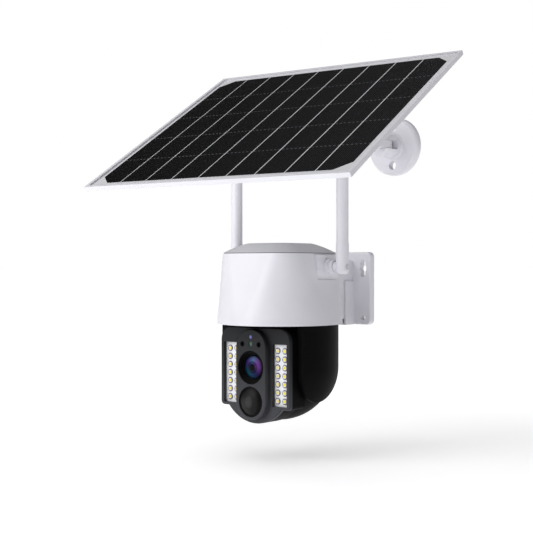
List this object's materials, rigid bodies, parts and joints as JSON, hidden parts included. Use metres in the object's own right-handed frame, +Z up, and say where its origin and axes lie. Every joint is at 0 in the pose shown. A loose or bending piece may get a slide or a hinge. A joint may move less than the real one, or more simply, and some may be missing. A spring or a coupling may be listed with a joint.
{
  "type": "solar powered security camera",
  "caption": "Wall mounted pan and tilt camera with white LED lamps, lens and motion sensor, two rod antennas, and a separate solar panel on its own tilting wall arm.",
  "frame": {"origin": "centre of the camera wall plate's back face, in the wall's plane", "axes": "+Z up, +Y into the wall, -Y the way the camera looks out from the wall"},
  "size_m": [0.2339, 0.2548, 0.2574],
  "materials": {
    "white_plastic": "satin moulded ABS",
    "cap_plastic": "satin moulded ABS",
    "black_plastic": "fine textured ABS",
    "face_plastic": "satin dark grey ABS",
    "inner_plastic": "moulded acetal",
    "rubber": "matt",
    "steel": "plain",
    "battery_wrap": "shrink wrap",
    "circuit_board": "solder mask",
    "lamp_board": "white solder mask",
    "lamp_chip": "phosphor",
    "lamp_lens": "clear",
    "lens_glass": "coated",
    "motion_lens": "smoked polyethylene",
    "indicator": "frosted",
    "light_cell": "filter glass",
    "frame": "powder coated",
    "panel_glass": "clear film",
    "solar_cell": "black silicon",
    "back_sheet": "white laminate"
  },
  "bodies": {
    "housing": {"wall_plate": "white_plastic", "housing_arm": "white_plastic", "arm_screw": "steel", "housing_shell": "white_plastic", "top_cap": "cap_plastic", "cap_gasket": "rubber", "base_plate": "inner_plastic", "base_screws": "steel", "pan_bearing": "inner_plastic", "battery_tray": "black_plastic", "battery_cells": "battery_wrap", "main_board": "circuit_board", "pan_motor": "steel", "antenna_socket_left": "white_plastic", "antenna_socket_right": "white_plastic", "cable_gland": "rubber", "panel_wall_base": "white_plastic", "swing_pin": "steel"},
    "pan_pinion": {"pan_pinion": "inner_plastic"},
    "yoke": {"yoke_plate": "black_plastic", "yoke_arm_left": "black_plastic", "yoke_arm_right": "black_plastic", "arm_covers": "black_plastic", "tilt_axles": "steel", "pan_gear": "inner_plastic", "tilt_gear": "inner_plastic"},
    "head": {"head_shell": "black_plastic", "head_face": "face_plastic", "sensor_module": "face_plastic", "microphones": "black_plastic", "status_light": "indicator", "light_sensor": "light_cell", "lens_trim": "black_plastic", "lens_glass": "lens_glass", "lens_barrel": "black_plastic", "motion_lens": "motion_lens", "camera_board": "circuit_board", "motion_sensor": "steel", "speaker": "black_plastic", "led_boards": "lamp_board", "led_chips": "lamp_chip", "led_lenses": "lamp_lens", "tilt_motor": "steel"},
    "tilt_pinion": {"tilt_pinion": "inner_plastic"},
    "reset_button": {"reset_button": "black_plastic"},
    "antenna_left": {"antenna_left": "white_plastic", "antenna_screw_left": "steel"},
    "antenna_right": {"antenna_right": "white_plastic", "antenna_screw_right": "steel"},
    "panel_arm": {"panel_arm": "white_plastic", "knuckle_bolt": "steel", "knuckle_knob": "white_plastic"},
    "panel": {"panel_bracket": "white_plastic", "bracket_screws": "steel", "panel_frame": "frame", "panel_film": "panel_glass", "panel_cells": "solar_cell", "panel_back": "back_sheet", "junction_box": "black_plastic"}
  },
  "joints": [
    {"name": "camera_pan", "type": "hinge", "parent": "housing", "child": "yoke", "pos_m": [0, -0.075, -0.013], "axis": [0, 0, 1], "range_deg": [-177, 177]},
    {"name": "pan_pinion_spin", "type": "hinge", "parent": "housing", "child": "pan_pinion", "pos_m": [-0.02036, -0.09536, -0.005], "axis": [0, 0, 1], "range_deg": [-890, 890]},
    {"name": "camera_tilt", "type": "hinge", "parent": "yoke", "child": "head", "pos_m": [0, -0.075, -0.0567], "axis": [1, 0, 0], "range_deg": [-15, 90]},
    {"name": "tilt_pinion_spin", "type": "hinge", "parent": "head", "child": "tilt_pinion", "pos_m": [0.029, -0.075, -0.0399], "axis": [1, 0, 0], "range_deg": [-40, 230]},
    {"name": "reset_press", "type": "slide", "parent": "head", "child": "reset_button", "axis": [0, -1, 0], "range_m": [0, 0.0006], "stiffness_N_per_m": 200, "springref_m": -0.0005},
    {"name": "antenna_left_swing", "type": "hinge", "parent": "housing", "child": "antenna_left", "pos_m": [-0.0435, -0.0658, 0.0173], "axis": [1, 0, 0], "range_deg": [-40, 90]},
    {"name": "antenna_right_swing", "type": "hinge", "parent": "housing", "child": "antenna_right", "pos_m": [0.0435, -0.0658, 0.0173], "axis": [1, 0, 0], "range_deg": [-40, 90]},
    {"name": "panel_swing", "type": "hinge", "parent": "housing", "child": "panel_arm", "pos_m": [0.0557, -0.018, 0.11], "axis": [0, 0, 1], "range_deg": [-25, 20]},
    {"name": "panel_tilt", "type": "hinge", "parent": "panel_arm", "child": "panel", "pos_m": [0.06868, -0.13015, 0.11], "axis": [0.9934, 0.1149, 0], "range_deg": [-31, 43]}
  ],
  "couplings": [
    {"joint": "pan_pinion_spin", "follows": "camera_pan", "ratio": -5},
    {"joint": "tilt_pinion_spin", "follows": "camera_tilt", "ratio": 2.5}
  ]
}
